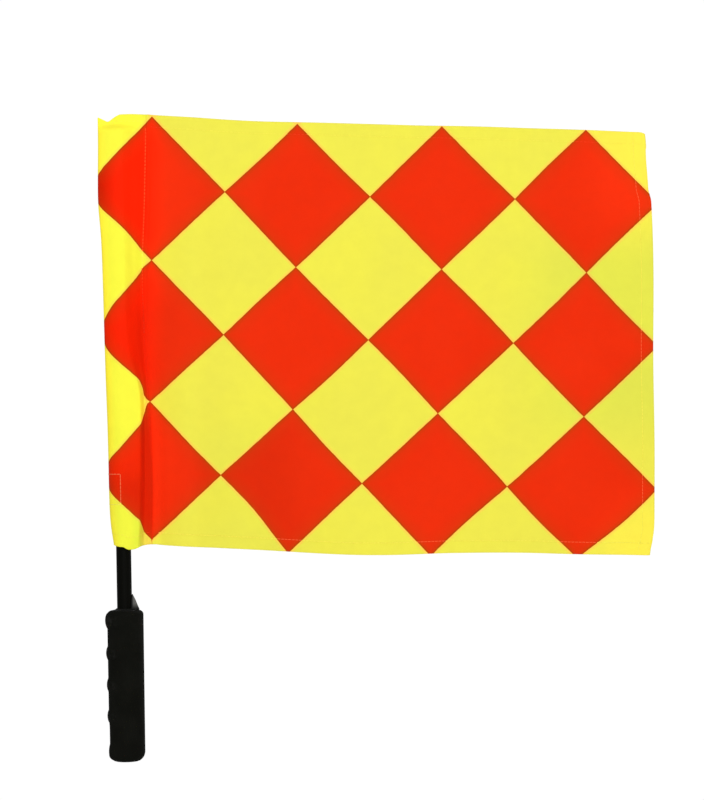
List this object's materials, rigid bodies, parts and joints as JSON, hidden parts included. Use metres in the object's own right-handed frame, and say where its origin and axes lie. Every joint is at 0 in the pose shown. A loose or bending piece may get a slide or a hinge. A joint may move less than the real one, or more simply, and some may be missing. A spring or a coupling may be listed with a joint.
{
  "type": "linesman flag",
  "caption": "Hand flag with a chequered cloth on a slim round shaft that turns inside a ridged grip; the cloth's pocket lifts off the shaft.",
  "frame": {"origin": "on the shaft's axis, at the middle of the grip's length, where a hand holds it", "axes": "+Z along the shaft from the grip towards its tip; +X from the shaft towards the cloth's free edge; the cloth lies in the X-Z plane and is seen along +Y"},
  "size_m": [0.4526, 0.0286, 0.5278],
  "materials": {
    "grip_rubber": "matte",
    "handle_plastic": "satin",
    "neck_plastic": "satin",
    "bearing_nylon": "satin",
    "shaft_plastic": "satin",
    "plug_plastic": "matte",
    "steel": "satin",
    "hook_tape": "matte",
    "loop_tape": "matte",
    "cloth": "matte",
    "thread": "matte"
  },
  "bodies": {
    "handle": {"handle_core": "handle_plastic", "grip_sleeve": "grip_rubber", "neck_collar": "neck_plastic", "lower_bush": "bearing_nylon", "end_cap": "handle_plastic"},
    "shaft": {"shaft_tube": "shaft_plastic", "shaft_tip_cap": "shaft_plastic", "shaft_end_plug": "plug_plastic", "thrust_collar": "bearing_nylon", "retaining_washer": "steel", "retaining_screw": "steel", "hook_patch": "hook_tape"},
    "pocket": {"pole_pocket": "cloth", "loop_patch": "loop_tape", "pocket_seam_thread": "thread", "patch_stitch_front": "thread", "patch_stitch_back": "thread"},
    "cloth": {"flag_panel": "cloth", "top_hem_thread": "thread", "bottom_hem_thread": "thread", "fly_hem_thread": "thread"}
  },
  "joints": [
    {"name": "handle_swivel", "type": "hinge", "parent": "handle", "child": "shaft", "pos_m": [0, 0, 0], "axis": [0, 0, 1], "continuous": true},
    {"name": "cloth_pull_off", "type": "slide", "parent": "shaft", "child": "pocket", "axis": [0, 0, 1], "range_m": [0, 0.375]},
    {"name": "cloth_swing", "type": "hinge", "parent": "pocket", "child": "cloth", "pos_m": [0.0265, 0.0025, 0.29], "axis": [0, 0, 1], "range_deg": [-90, 90]}
  ]
}
